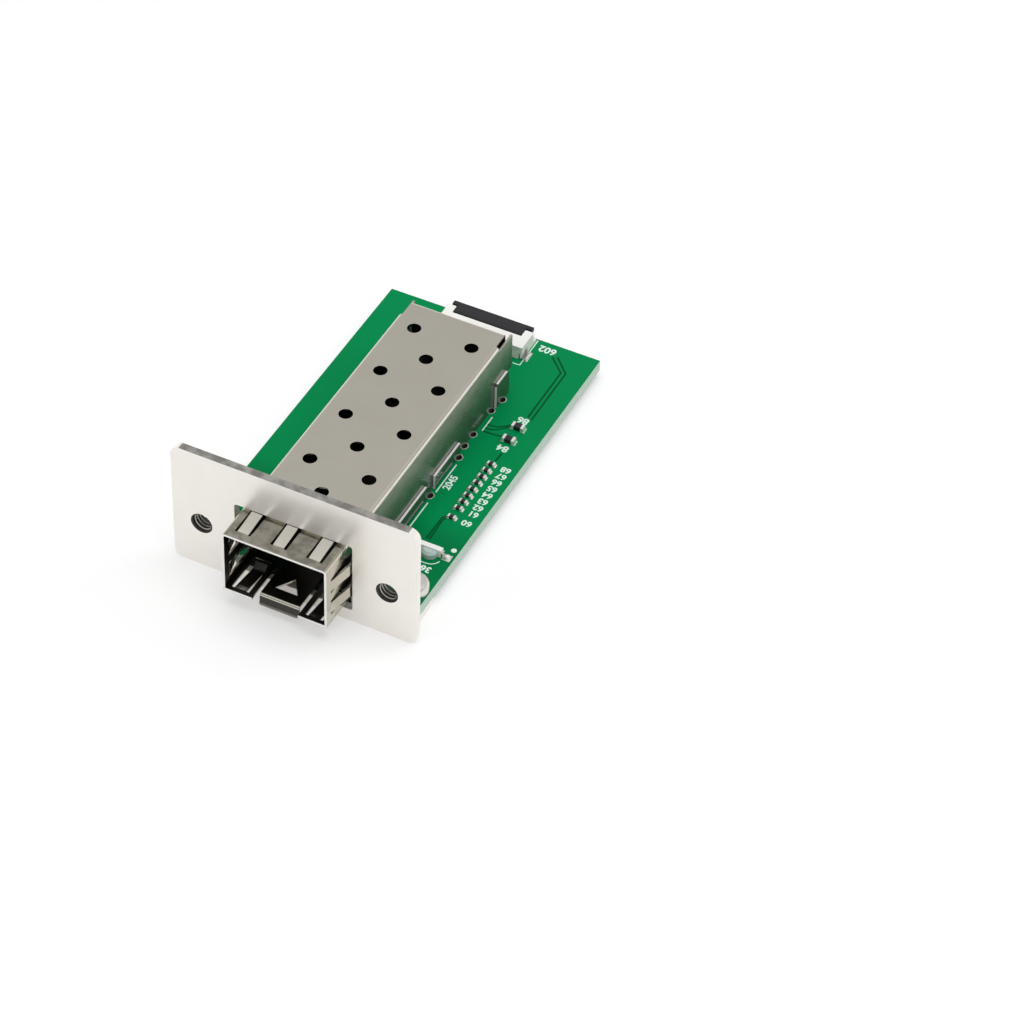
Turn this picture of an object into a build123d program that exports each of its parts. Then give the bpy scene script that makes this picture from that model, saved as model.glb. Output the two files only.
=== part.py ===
from build123d import *
import os

# Ethernet port card: a pluggable-module cage and a flat-cable connector on a small board,
# carried by a two-screw face bracket.
# Millimetres. +X is to the right seen from the front, +Y runs to the rear, +Z is up.
# The origin is midway between the two tapped panel holes, on the front face of the bracket.

# Face bracket, one bent sheet
bracket_width = 32.8
bracket_height = 18.0
bracket_sheet = 1.0
bracket_corner = 1.4
bracket_bend = 0.3
flange_length = 8.2
flange_corner = 1.2
panel_hole_spacing = 25.0
panel_tap = 2.5
panel_tap_mouth = 2.9
panel_tap_angle = 90
collar_diameter = 4.4
collar_length = 1.0
opening_gap_side = 0.9
opening_gap_top = 0.4
opening_gap_bottom = 0.8
opening_corner = 0.4

# Circuit board
screw_line_height = 4.3
board_width = 30.0
board_thickness = 1.6
board_play = 0.05
board_rear_margin = 0.3

# Screws that hold the board on the flange
screw_thread = 2.0
screw_play = 0.15
screw_length = 2.5
screw_head = 4.0
screw_head_height = 1.4
screw_head_edge = 0.45
screw_edge = 2.1
screw_setback = 4.55
drive_width = 0.5
drive_span = 2.1
drive_depth = 0.7

# Module cage, two folded sheets
cage_width = 14.0
cage_height = 9.2
cage_length = 47.7
cage_sheet = 0.3
cage_bend = 0.35
cage_nose = 4.7
cage_play = 0.05
wall_overrun = 1.0
wall_drop = 0.8
slit_width = 0.5
slit_length = 2.8
rear_notch_length = 3.8
rear_notch_height = 3.2
rear_panel_gap = 0.4
ear_length = 3.8
ear_height = 3.8
ear_corner = 0.5
ear_pin_inset = 2.0
vent_diameter = 1.8
vent_pitch = 9.0
vent_column = 4.0
vent_rows = 4
vent_setback = 11.7
finger_rim = 1.1
finger_slot = 0.35
finger_play = 0.05
finger_overrun = 0.9
finger_bend = 2.0
roof_finger_width = 1.45
roof_finger_spacing = 4.75
wall_finger_width = 1.6
wall_finger_spacing = 3.5
wall_finger_height = 4.2
floor_finger_width = 1.6
floor_finger_place = 5.0
floor_finger_rim = 0.6
floor_finger_bend = 0.6
tongue_width = 5.3
tongue_slot = 0.45
tongue_length = 12.0
tongue_setback = 1.2
lip_height = 1.1
lip_flare = 0.35
lip_corner = 0.3
catch_width = 3.0
catch_length = 2.3
catch_setback = 2.85
skirt_height = 2.2
skirt_gap = 0.95
skirt_slope = 1.2
skirt_foot = 0.8
rear_skirt_length = 6.8
skirt_end_gap = 0.9
pin_width = 0.6
pin_point = 0.3
pin_hole = 1.05
pin_inset = 0.3
pin_spacing = 11.5
pin_shortfall = 0.05
cover_pin_steps = (1.0, 3.4, 8.4)

# Connector inside the cage for the module's edge
host_width = 11.6
host_depth = 8.8
host_height = 5.6
host_gap = 3.3
host_standoff = 0.4
host_foot_width = 1.0
host_slot_width = 9.6
host_slot_height = 1.3
host_slot_depth = 5.6
host_slot_level = 3.3
host_edge = 0.4
host_floor_gap = 0.8
host_contacts = 10
host_pitch = 0.8
host_contact_width = 0.35
host_contact_sheet = 0.2
host_contact_play = 0.05
host_tail = 0.6
host_peg = 1.4
host_peg_hole = 1.55
host_peg_spacing = 9.2
host_peg_length = 1.2

# Flat-cable connector at the rear edge
cable_gap = 4.9
cable_width = 12.2
cable_height = 2.0
cable_block_depth = 2.1
cable_floor = 0.4
cable_contacts = 16
cable_pitch = 0.5
cable_contact_width = 0.2
cable_contact_sheet = 0.2
cable_contact_play = 0.04
cable_tail = 0.8
cable_contact_reach = 1.5
cable_groove_height = 0.8
seam_level = 1.5
seam_span = 11.0
seam_size = 0.15
tower_width = 1.15
tower_depth = 1.3
tab_length = 1.6
tab_setback = 0.1
tab_sheet = 0.2
tab_rise = 0.9
tab_reach = 0.6
tab_depth = 0.5
flap_play = 0.1
flap_thickness = 1.1
flap_reach = 1.6
flap_wing_depth = 0.65
flap_wing_span = 11.4
trunnion_diameter = 0.6
trunnion_length = 0.55
trunnion_play = 0.05

# Lamp beside the bracket
led_length = 3.0
led_depth = 0.7
led_height = 1.1
led_shift = 0.775
led_setback = 10.75
led_lens_width = 2.2
led_lens_depth = 1.0
led_lens_height = 0.95
led_lens_edge = 0.3
led_play = 0.02
led_terminal_sheet = 0.2
led_terminal_height = 0.7
led_terminal_reach = 0.8

# Chips on the board: a row of small ones and two larger ones
chip_edge = 3.55
chip_length = 1.0
chip_width = 0.5
chip_height = 0.35
chip_cap = 0.25
chip_cap_proud = 0.03
chip_count = 9
chip_pitch = 1.27
chip_first_step = 1.8
chip_row_setback = 17.55
large_chip_length = 1.6
large_chip_width = 0.8
large_chip_height = 0.6
large_chip_cap = 0.35
large_chip_setbacks = (33.15, 35.75)

# Levels
board_top = -screw_line_height
board_bottom = board_top - board_thickness
flange_bottom = board_bottom - bracket_sheet
cage_top = board_top + cage_height
roof_middle = cage_top - cage_sheet / 2
floor_middle = board_top + cage_sheet / 2
pin_tip = flange_bottom + pin_shortfall

# Places along the card, front to rear
mouth = -cage_nose
cage_rear = mouth + cage_length
wall_rear = cage_rear + wall_overrun
board_front = bracket_sheet + bracket_bend + board_play
host_rear = cage_rear - host_gap
host_front = host_rear - host_depth
floor_rear = host_front - host_floor_gap
cable_front = wall_rear + cable_gap
cable_block_rear = cable_front + cable_block_depth
hinge_y = cable_block_rear + flap_play + flap_thickness / 2
flap_rear = hinge_y + flap_reach
board_rear = flap_rear + board_rear_margin
board_length = board_rear - board_front
finger_crest = bracket_sheet / 2
finger_tip = bracket_sheet + finger_overrun
finger_root = mouth + finger_rim
floor_finger_root = mouth + floor_finger_rim
floor_finger_tip = board_front - finger_slot / 2
rear_skirt_end = floor_rear - skirt_end_gap
rear_skirt_start = rear_skirt_end - rear_skirt_length
front_skirt_end = rear_skirt_start - skirt_gap
front_skirt_start = finger_tip + cage_play
base_pins = (
    front_skirt_end - pin_inset - pin_spacing,
    front_skirt_end - pin_inset,
    rear_skirt_end - pin_inset,
)
cover_pins = tuple(floor_rear + step for step in cover_pin_steps)
ear_pin = cage_rear - ear_pin_inset

# Places across the card
wall_middle = cage_width / 2 - cage_sheet / 2
skirt_middle = cage_width / 2 + cage_play + cage_sheet / 2
skirt_side = skirt_middle + cage_sheet / 2
board_side = board_width / 2
screw_x = board_side - screw_edge
screw_y = board_front + screw_setback
chip_x = board_side - chip_edge
led_x = (skirt_side + board_side) / 2 + led_shift
led_front = board_front + led_setback

# Port opening in the bracket, set by the cage that passes through it
opening_width = cage_width + 2 * opening_gap_side
opening_height = cage_height + opening_gap_top + opening_gap_bottom
opening_middle = board_top - opening_gap_bottom + opening_height / 2

# Flap hinge height above the board
hinge_z = board_top + cable_height - flap_thickness / 2
flap_half = cable_width / 2 - tower_width - flap_play


def folded_strip(plane, middle_line, bend, thickness):
    """Section of a folded sheet that follows its middle line."""
    with BuildSketch(plane) as section:
        with BuildLine():
            FilletPolyline(*middle_line, radius=bend)
        trace(line_width=thickness)
    return section.sketch


def pin_outline(y, top):
    """Side view of a board pin with a pointed tip."""
    half = pin_width / 2
    with BuildSketch(Plane.YZ) as section:
        with BuildLine():
            Polyline(
                (y - half, top),
                (y - half, pin_tip + pin_point),
                (y, pin_tip),
                (y + half, pin_tip + pin_point),
                (y + half, top),
                close=True,
            )
        make_face()
    return section.sketch


def save(piece, name):
    """Label a finished piece and write it."""
    piece.part.label = name
    export_step(piece.part, f"parts/{name}.step")


os.makedirs("parts", exist_ok=True)

# Face bracket: plate with the port, flange under the board, collars and tapped holes
with BuildPart() as face_bracket:
    with BuildSketch(Plane.XZ):
        with Locations((0, flange_bottom + bracket_height / 2)):
            RectangleRounded(bracket_width, bracket_height, bracket_corner)
        with Locations((0, opening_middle)):
            RectangleRounded(opening_width, opening_height, opening_corner, mode=Mode.SUBTRACT)
    extrude(amount=-bracket_sheet)
    with BuildSketch(Plane.XY.offset(flange_bottom)):
        Rectangle(board_width, flange_length, align=(Align.CENTER, Align.MIN))
    extrude(amount=bracket_sheet)
    flange_ends = face_bracket.edges().filter_by(Axis.Z).group_by(Axis.Y)[-1]
    fillet(flange_ends, flange_corner)
    long_edges = face_bracket.edges().filter_by(Axis.X)
    fillet(long_edges.sort_by_distance((0, bracket_sheet, board_bottom))[0], bracket_bend)
    with BuildSketch(Plane.XZ.offset(-bracket_sheet)):
        with GridLocations(panel_hole_spacing, 0, 2, 1):
            Circle(collar_diameter / 2)
    extrude(amount=-collar_length)
    with Locations(Plane.XZ):
        with GridLocations(panel_hole_spacing, 0, 2, 1):
            CounterSinkHole(panel_tap / 2, panel_tap_mouth / 2, counter_sink_angle=panel_tap_angle)
    with Locations((0, screw_y, board_bottom)):
        with GridLocations(2 * screw_x, 0, 2, 1):
            Hole((screw_thread + cage_play) / 2)
save(face_bracket, "face_bracket")

# Circuit board with its holes
with BuildPart() as circuit_board:
    with BuildSketch(Plane.XY.offset(board_top)):
        with Locations((0, board_front)):
            Rectangle(board_width, board_length, align=(Align.CENTER, Align.MIN))
        with Locations((0, screw_y)):
            with GridLocations(2 * screw_x, 0, 2, 1):
                Circle((screw_thread + 2 * screw_play) / 2, mode=Mode.SUBTRACT)
        for side in (-1, 1):
            with Locations(*[(side * skirt_middle, y) for y in (*base_pins, ear_pin)]):
                Circle(pin_hole / 2, mode=Mode.SUBTRACT)
            with Locations(*[(side * wall_middle, y) for y in cover_pins]):
                Circle(pin_hole / 2, mode=Mode.SUBTRACT)
        with Locations((0, (host_front + host_rear) / 2)):
            with GridLocations(host_peg_spacing, 0, 2, 1):
                Circle(host_peg_hole / 2, mode=Mode.SUBTRACT)
    extrude(amount=-board_thickness)
save(circuit_board, "circuit_board")

# Board screws: pan heads with a cross drive
with BuildPart() as board_screws:
    with Locations((-screw_x, screw_y, board_top), (screw_x, screw_y, board_top)):
        Cylinder(screw_head / 2, screw_head_height, align=(Align.CENTER, Align.CENTER, Align.MIN))
    chamfer(board_screws.edges().group_by(Axis.Z)[-1], screw_head_edge)
    with Locations((-screw_x, screw_y, board_top), (screw_x, screw_y, board_top)):
        Cylinder(screw_thread / 2, screw_length, align=(Align.CENTER, Align.CENTER, Align.MAX))
    with BuildSketch(Plane.XY.offset(board_top + screw_head_height)):
        with Locations((-screw_x, screw_y), (screw_x, screw_y)):
            Rectangle(drive_span, drive_width)
            Rectangle(drive_width, drive_span)
    extrude(amount=-drive_depth, mode=Mode.SUBTRACT)
save(board_screws, "board_screws")

# Cage cover: roof, walls and rear panel folded from one sheet, with fingers lanced from the nose
wall_foot = board_top + cage_sheet + cage_play
with BuildPart() as cage_cover:
    shell = folded_strip(
        Plane.XZ.offset(cage_nose),
        [
            (-wall_middle, board_top),
            (-wall_middle, roof_middle),
            (wall_middle, roof_middle),
            (wall_middle, board_top),
        ],
        cage_bend,
        cage_sheet,
    )
    extrude(shell, amount=mouth - wall_rear)
    with BuildSketch(Plane.YZ):
        with Locations((mouth, board_top)):
            Rectangle(floor_rear + cage_play - mouth, wall_foot - board_top, align=Align.MIN)
        with Locations((wall_rear - rear_notch_length, board_top)):
            Rectangle(rear_notch_length, rear_notch_height, align=Align.MIN)
        for offset_z in (-wall_finger_spacing / 2, wall_finger_spacing / 2):
            with Locations((finger_root, board_top + wall_finger_height + offset_z)):
                Rectangle(
                    finger_tip + finger_slot - finger_root,
                    wall_finger_width + 2 * finger_slot,
                    align=(Align.MIN, Align.CENTER),
                )
    extrude(amount=cage_width, both=True, mode=Mode.SUBTRACT)
    with BuildSketch(Plane.XY.offset(cage_top)):
        with Locations((0, cage_rear - cage_bend - cage_sheet)):
            Rectangle(
                cage_width, wall_overrun + cage_bend + cage_sheet, align=(Align.CENTER, Align.MIN)
            )
        with Locations((0, cage_rear - slit_length)):
            with GridLocations(cage_width - slit_width, 0, 2, 1):
                Rectangle(slit_width, slit_length, align=(Align.CENTER, Align.MIN))
    extrude(amount=-wall_drop, mode=Mode.SUBTRACT)
    with BuildSketch(Plane.XY.offset(cage_top)):
        with Locations((0, finger_root)):
            with GridLocations(roof_finger_spacing, 0, 3, 1):
                Rectangle(
                    roof_finger_width + 2 * finger_slot,
                    finger_tip + finger_slot - finger_root,
                    align=(Align.CENTER, Align.MIN),
                )
        vent_span = (vent_rows - 1) * vent_pitch
        with Locations((0, mouth + vent_setback + vent_span / 2)):
            with GridLocations(0, vent_pitch, 1, vent_rows):
                Circle(vent_diameter / 2)
        with Locations((0, mouth + vent_setback + vent_pitch / 2 + vent_span / 2)):
            with GridLocations(2 * vent_column, vent_pitch, 2, vent_rows):
                Circle(vent_diameter / 2)
    extrude(amount=-2 * cage_sheet, mode=Mode.SUBTRACT)
    panel_middle = cage_rear - cage_sheet / 2
    panel_side = cage_width / 2 - slit_width
    rear_panel = folded_strip(
        Plane.YZ,
        [
            (cage_rear - slit_length, roof_middle),
            (panel_middle, roof_middle),
            (panel_middle, board_top + rear_panel_gap),
        ],
        cage_bend,
        cage_sheet,
    )
    extrude(rear_panel, amount=panel_side, both=True)
    roof_bulge = opening_gap_top - finger_play
    roof_finger = folded_strip(
        Plane.YZ,
        [
            (finger_root - finger_rim / 2, roof_middle),
            (finger_root, roof_middle),
            (finger_crest, roof_middle + roof_bulge),
            (finger_tip, roof_middle),
        ],
        finger_bend,
        cage_sheet,
    )
    for place in (-roof_finger_spacing, 0, roof_finger_spacing):
        half = roof_finger_width / 2
        extrude(Pos(place - half, 0, 0) * roof_finger, amount=roof_finger_width)
    wall_bulge = opening_gap_side - finger_play
    for side in (-1, 1):
        for offset_z in (-wall_finger_spacing / 2, wall_finger_spacing / 2):
            level = board_top + wall_finger_height + offset_z - wall_finger_width / 2
            wall_finger = folded_strip(
                Plane.XY.offset(level),
                [
                    (side * wall_middle, finger_root - finger_rim / 2),
                    (side * wall_middle, finger_root),
                    (side * (wall_middle + wall_bulge), finger_crest),
                    (side * wall_middle, finger_tip),
                ],
                finger_bend,
                cage_sheet,
            )
            extrude(wall_finger, amount=wall_finger_width)
        # The rear panel's ears pass out under the walls and fold forward along them
        ear_web = folded_strip(
            Plane.XY.offset(board_top + rear_panel_gap),
            [
                (side * (panel_side - cage_sheet), panel_middle),
                (side * skirt_middle, panel_middle),
                (side * skirt_middle, cage_rear - ear_length / 2),
            ],
            cage_bend / 2,
            cage_sheet,
        )
        extrude(ear_web, amount=rear_notch_height - rear_panel_gap - cage_play)
        with BuildSketch(Plane.YZ.offset(side * skirt_middle)) as ear:
            with Locations((cage_rear - ear_length, board_top)):
                Rectangle(ear_length - cage_bend, ear_height, align=Align.MIN)
            fillet(ear.vertices().group_by(Axis.Y)[-1], ear_corner)
        extrude(amount=cage_sheet / 2, both=True)
        for y in cover_pins:
            pin = Pos(side * wall_middle, 0, 0) * pin_outline(y, board_top)
            extrude(pin, amount=cage_sheet / 2, both=True)
        pin = Pos(side * skirt_middle, 0, 0) * pin_outline(ear_pin, board_top + ear_height / 2)
        extrude(pin, amount=cage_sheet / 2, both=True)
save(cage_cover, "cage_cover")

# Cage base: floor with the latch tongue, skirts outside the walls, fingers under the nose
with BuildPart() as cage_base:
    with BuildSketch(Plane.XY.offset(board_top)):
        with Locations((0, mouth)):
            Rectangle(cage_width, floor_rear - mouth, align=(Align.CENTER, Align.MIN))
            with GridLocations(tongue_width + tongue_slot, 0, 2, 1):
                Rectangle(
                    tongue_slot, tongue_length, align=(Align.CENTER, Align.MIN), mode=Mode.SUBTRACT
                )
            with GridLocations(2 * floor_finger_place, 0, 2, 1):
                with Locations((0, floor_finger_rim)):
                    Rectangle(
                        floor_finger_width + 2 * finger_slot,
                        floor_finger_tip + finger_slot - floor_finger_root,
                        align=(Align.CENTER, Align.MIN),
                        mode=Mode.SUBTRACT,
                    )
            Rectangle(
                tongue_width,
                tongue_setback + 2 * cage_sheet,
                align=(Align.CENTER, Align.MIN),
                mode=Mode.SUBTRACT,
            )
        with BuildLine():
            catch_front = mouth + catch_setback
            Polyline(
                (-catch_width / 2, catch_front),
                (catch_width / 2, catch_front),
                (0, catch_front + catch_length),
                close=True,
            )
        make_face(mode=Mode.SUBTRACT)
    extrude(amount=cage_sheet)
    lip_front = mouth + tongue_setback
    lip_low = floor_middle - lip_height
    lip = folded_strip(
        Plane.YZ,
        [
            (lip_front + 4 * cage_sheet, floor_middle),
            (lip_front, floor_middle),
            (lip_front, lip_low),
            (lip_front - lip_flare, lip_low - lip_flare),
        ],
        cage_bend,
        cage_sheet,
    )
    extrude(lip, amount=tongue_width / 2, both=True)
    lip_ends = cage_base.edges().filter_by(Axis.X, reverse=True).group_by(Axis.Z)[0]
    fillet(lip_ends, lip_corner)
    floor_finger = folded_strip(
        Plane.YZ,
        [
            (floor_finger_root - floor_finger_rim / 2, floor_middle),
            (floor_finger_root, floor_middle),
            (finger_crest, floor_middle - opening_gap_bottom + finger_play),
            (floor_finger_tip, floor_middle),
        ],
        floor_finger_bend,
        cage_sheet,
    )
    for side in (-1, 1):
        finger_side = side * floor_finger_place - floor_finger_width / 2
        extrude(Pos(finger_side, 0, 0) * floor_finger, amount=floor_finger_width)
        skirt = folded_strip(
            Plane.XZ,
            [
                (side * (wall_middle - cage_sheet), floor_middle),
                (side * skirt_middle, floor_middle),
                (side * skirt_middle, board_top + skirt_height),
            ],
            cage_bend / 2,
            cage_sheet,
        )
        extrude(Pos(0, front_skirt_start, 0) * skirt, amount=front_skirt_start - front_skirt_end)
        extrude(Pos(0, rear_skirt_start, 0) * skirt, amount=rear_skirt_start - rear_skirt_end)
        for y in base_pins:
            pin = Pos(side * skirt_middle, 0, 0) * pin_outline(y, board_top + skirt_foot)
            extrude(pin, amount=cage_sheet / 2, both=True)
    with BuildSketch(Plane.YZ):
        with BuildLine():
            Polyline(
                (front_skirt_end - skirt_slope, board_top + skirt_height),
                (front_skirt_end, board_top + skirt_height),
                (front_skirt_end, board_top + skirt_foot),
                close=True,
            )
        make_face()
    extrude(amount=cage_width, both=True, mode=Mode.SUBTRACT)
save(cage_base, "cage_base")

# Connector inside the cage: body with the edge slot and its contact grooves
slot_middle = board_top + host_slot_level
slot_top = slot_middle + host_slot_height / 2
slot_bottom = slot_middle - host_slot_height / 2
slot_end = host_front + host_slot_depth
host_bottom = board_top + host_standoff
host_middle = (host_front + host_rear) / 2
groove_width = host_contact_width + 2 * host_contact_play
groove_depth = host_contact_sheet + host_contact_play
host_places = [(index - (host_contacts - 1) / 2) * host_pitch for index in range(host_contacts)]

with BuildSketch(Plane.YZ) as host_grooves:
    with Locations((host_front, slot_top)):
        Rectangle(host_depth, groove_depth, align=Align.MIN)
    with Locations((host_front, slot_bottom)):
        Rectangle(host_slot_depth, groove_depth, align=(Align.MIN, Align.MAX))
    with Locations((slot_end, slot_bottom)):
        Rectangle(groove_depth, slot_bottom - host_bottom, align=Align.MAX)

with BuildPart() as host_connector_body:
    with BuildSketch(Plane.XY.offset(host_bottom)):
        with Locations((0, host_middle)):
            Rectangle(host_width, host_depth)
    extrude(amount=host_height - host_standoff)
    chamfer(host_connector_body.faces().sort_by(Axis.Z)[-1].edges(), host_edge)
    with BuildSketch(Plane.XY.offset(host_bottom)):
        with Locations((0, host_middle)):
            with GridLocations(host_width - host_foot_width, 0, 2, 1):
                Rectangle(host_foot_width, host_depth)
    extrude(amount=-host_standoff)
    with BuildSketch(Plane.XY.offset(host_bottom)):
        with Locations((0, host_middle)):
            with GridLocations(host_peg_spacing, 0, 2, 1):
                Circle(host_peg / 2)
    extrude(amount=-host_standoff - host_peg_length)
    with BuildSketch(Plane.XZ.offset(-host_front)):
        with Locations((0, slot_middle)):
            Rectangle(host_slot_width, host_slot_height)
    extrude(amount=-host_slot_depth, mode=Mode.SUBTRACT)
    for place in host_places:
        grooves = Pos(place, 0, 0) * host_grooves.sketch
        extrude(grooves, amount=groove_width / 2, both=True, mode=Mode.SUBTRACT)
save(host_connector_body, "host_connector_body")

# Contacts of that connector: the upper row ends behind the body, the lower row in front of it
contact_front = host_front + host_edge
upper_leg = host_rear + host_contact_play
lower_leg = slot_end - host_contact_play
with BuildSketch(Plane.YZ) as upper_contact:
    with Locations((contact_front, slot_top)):
        Rectangle(upper_leg + host_contact_sheet - contact_front, host_contact_sheet, align=Align.MIN)
    with Locations((upper_leg, board_top)):
        Rectangle(host_contact_sheet, slot_top + host_contact_sheet - board_top, align=Align.MIN)
        Rectangle(host_contact_sheet + host_tail, host_contact_sheet, align=Align.MIN)
with BuildSketch(Plane.YZ) as lower_contact:
    with Locations((lower_leg, slot_bottom)):
        Rectangle(lower_leg - contact_front, host_contact_sheet, align=Align.MAX)
        Rectangle(host_contact_sheet, slot_bottom - board_top, align=Align.MAX)
    with Locations((lower_leg, board_top)):
        Rectangle(
            lower_leg - host_front + host_tail, host_contact_sheet, align=(Align.MAX, Align.MIN)
        )

with BuildPart() as host_connector_upper_contacts:
    for place in host_places:
        strip = Pos(place, 0, 0) * upper_contact.sketch
        extrude(strip, amount=host_contact_width / 2, both=True)
save(host_connector_upper_contacts, "host_connector_upper_contacts")

with BuildPart() as host_connector_lower_contacts:
    for place in host_places:
        strip = Pos(place, 0, 0) * lower_contact.sketch
        extrude(strip, amount=host_contact_width / 2, both=True)
save(host_connector_lower_contacts, "host_connector_lower_contacts")

# Flat-cable connector: housing with end towers that carry the flap and recesses for the tabs
with BuildPart() as cable_connector_housing:
    with BuildSketch(Plane.XY.offset(board_top)):
        with Locations((0, cable_front)):
            Rectangle(cable_width, flap_rear - cable_front, align=(Align.CENTER, Align.MIN))
    extrude(amount=cable_floor)
    with BuildSketch(Plane.XY.offset(board_top)):
        with Locations((0, cable_front)):
            Rectangle(cable_width, cable_block_depth, align=(Align.CENTER, Align.MIN))
        with Locations((0, cable_block_rear)):
            with GridLocations(cable_width - tower_width, 0, 2, 1):
                Rectangle(tower_width, tower_depth, align=(Align.CENTER, Align.MIN))
    extrude(amount=cable_height)
    with BuildSketch(Plane.YZ):
        with Locations((hinge_y, hinge_z)):
            Circle(trunnion_diameter / 2 + trunnion_play)
    extrude(amount=flap_half + trunnion_length + flap_play, both=True, mode=Mode.SUBTRACT)
    with BuildSketch(Plane.XZ.offset(-cable_front)):
        with Locations((0, board_top)):
            with GridLocations(cable_pitch, 0, cable_contacts, 1):
                Rectangle(
                    cable_contact_width + 2 * cable_contact_play,
                    cable_groove_height,
                    align=(Align.CENTER, Align.MIN),
                )
    extrude(amount=-cable_block_depth, mode=Mode.SUBTRACT)
    with BuildSketch(Plane.XZ.offset(-cable_front)):
        with Locations((0, board_top)):
            with GridLocations(cable_width - tab_depth, 0, 2, 1):
                Rectangle(
                    tab_depth, tab_rise + cable_contact_play, align=(Align.CENTER, Align.MIN)
                )
    extrude(amount=-tab_setback - tab_length - cable_contact_play, mode=Mode.SUBTRACT)
    with BuildSketch(Plane.XZ.offset(-cable_front)):
        with Locations((0, board_top + seam_level)):
            Rectangle(seam_span, seam_size)
    extrude(amount=-seam_size, mode=Mode.SUBTRACT)
save(cable_connector_housing, "cable_connector_housing")

# Its contacts: a tail on the board, a riser, then a beam on the floor of the cable slot
riser = cable_front + cable_contact_sheet
with BuildSketch(Plane.YZ) as cable_contact:
    with Locations((riser + cable_contact_sheet, board_top)):
        Rectangle(
            cable_tail + 2 * cable_contact_sheet, cable_contact_sheet, align=(Align.MAX, Align.MIN)
        )
    with Locations((riser, board_top)):
        Rectangle(cable_contact_sheet, cable_floor + cable_contact_sheet, align=Align.MIN)
    with Locations((riser, board_top + cable_floor)):
        Rectangle(
            cable_block_rear + cable_contact_reach - riser, cable_contact_sheet, align=Align.MIN
        )
with BuildPart() as cable_connector_contacts:
    for index in range(cable_contacts):
        place = (index - (cable_contacts - 1) / 2) * cable_pitch
        strip = Pos(place, 0, 0) * cable_contact.sketch
        extrude(strip, amount=cable_contact_width / 2, both=True)
save(cable_connector_contacts, "cable_connector_contacts")

# Its solder tabs: a leg in the recess of each end and a foot on the board
with BuildPart() as cable_connector_tabs:
    leg_side = cable_width / 2 - tab_depth + cable_contact_play
    foot_length = tab_depth - cable_contact_play + tab_reach
    with BuildSketch(Plane.XZ.offset(-cable_front - tab_setback)):
        with Locations((0, board_top)):
            with GridLocations(2 * leg_side + tab_sheet, 0, 2, 1):
                Rectangle(tab_sheet, tab_rise, align=(Align.CENTER, Align.MIN))
            with GridLocations(2 * leg_side + foot_length, 0, 2, 1):
                Rectangle(foot_length, tab_sheet, align=(Align.CENTER, Align.MIN))
    extrude(amount=-tab_length)
save(cable_connector_tabs, "cable_connector_tabs")

# Its lock flap: round hinge edge, wings at the free edge, two trunnions
flap_top = hinge_z + flap_thickness / 2
with BuildPart() as cable_lock_flap:
    with BuildSketch(Plane.YZ):
        with Locations((hinge_y, hinge_z)):
            Circle(flap_thickness / 2)
            Rectangle(flap_reach, flap_thickness, align=(Align.MIN, Align.CENTER))
    extrude(amount=flap_half, both=True)
    with BuildSketch(Plane.XY.offset(flap_top)):
        with Locations((0, flap_rear)):
            Rectangle(flap_wing_span, flap_wing_depth, align=(Align.CENTER, Align.MAX))
    extrude(amount=-flap_thickness / 2)
    with BuildSketch(Plane.YZ):
        with Locations((hinge_y, hinge_z)):
            Circle(trunnion_diameter / 2)
    extrude(amount=flap_half + trunnion_length, both=True)
save(cable_lock_flap, "cable_lock_flap")

# Lamp that shines to the front: upright body, round lens before it and two end terminals
with BuildPart() as led_body:
    with Locations((led_x, led_front, board_top)):
        Box(led_length, led_depth, led_height, align=(Align.CENTER, Align.MIN, Align.MIN))
save(led_body, "led_body")

with BuildPart() as led_lens:
    with BuildSketch(Plane.XY.offset(board_top)):
        with BuildLine():
            lens_left = (led_x - led_lens_width / 2, led_front)
            lens_right = (led_x + led_lens_width / 2, led_front)
            ThreePointArc(lens_left, (led_x, led_front - led_lens_depth), lens_right)
            Line(lens_right, lens_left)
        make_face()
    extrude(amount=led_lens_height)
    lens_rim = led_lens.edges().group_by(Axis.Z)[-1].filter_by(GeomType.CIRCLE)
    chamfer(lens_rim, led_lens_edge)
save(led_lens, "led_window")

with BuildPart() as led_terminals:
    led_end = led_length / 2 + led_play
    with BuildSketch(Plane.XZ.offset(-led_front)):
        with Locations((led_x, board_top)):
            with GridLocations(2 * led_end + led_terminal_sheet, 0, 2, 1):
                Rectangle(led_terminal_sheet, led_terminal_height, align=(Align.CENTER, Align.MIN))
            with GridLocations(2 * led_end + led_terminal_reach, 0, 2, 1):
                Rectangle(led_terminal_reach, led_terminal_sheet, align=(Align.CENTER, Align.MIN))
    extrude(amount=-led_depth)
save(led_terminals, "led_terminals")


def chip(name, y, length, width, height, cap):
    """A chip across the board: a body with two end caps that stand a little proud."""
    low = (Align.CENTER, Align.CENTER, Align.MIN)
    with BuildPart() as piece:
        with Locations((chip_x, y, board_top)):
            Box(length - 2 * chip_cap_proud, width, height, align=low)
            with GridLocations(length - cap, 0, 2, 1):
                Box(cap, width + 2 * chip_cap_proud, height + chip_cap_proud, align=low)
    save(piece, name)


for index in range(chip_count):
    step = chip_first_step + (index - 1) * chip_pitch if index else 0
    row_y = board_front + chip_row_setback + step
    chip(f"chip_resistor_{index + 1}", row_y, chip_length, chip_width, chip_height, chip_cap)
for index, setback in enumerate(large_chip_setbacks):
    chip(
        f"chip_capacitor_{index + 1}",
        board_front + setback,
        large_chip_length,
        large_chip_width,
        large_chip_height,
        large_chip_cap,
    )
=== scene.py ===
import math

import bpy
from mathutils import Matrix, Vector


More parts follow.
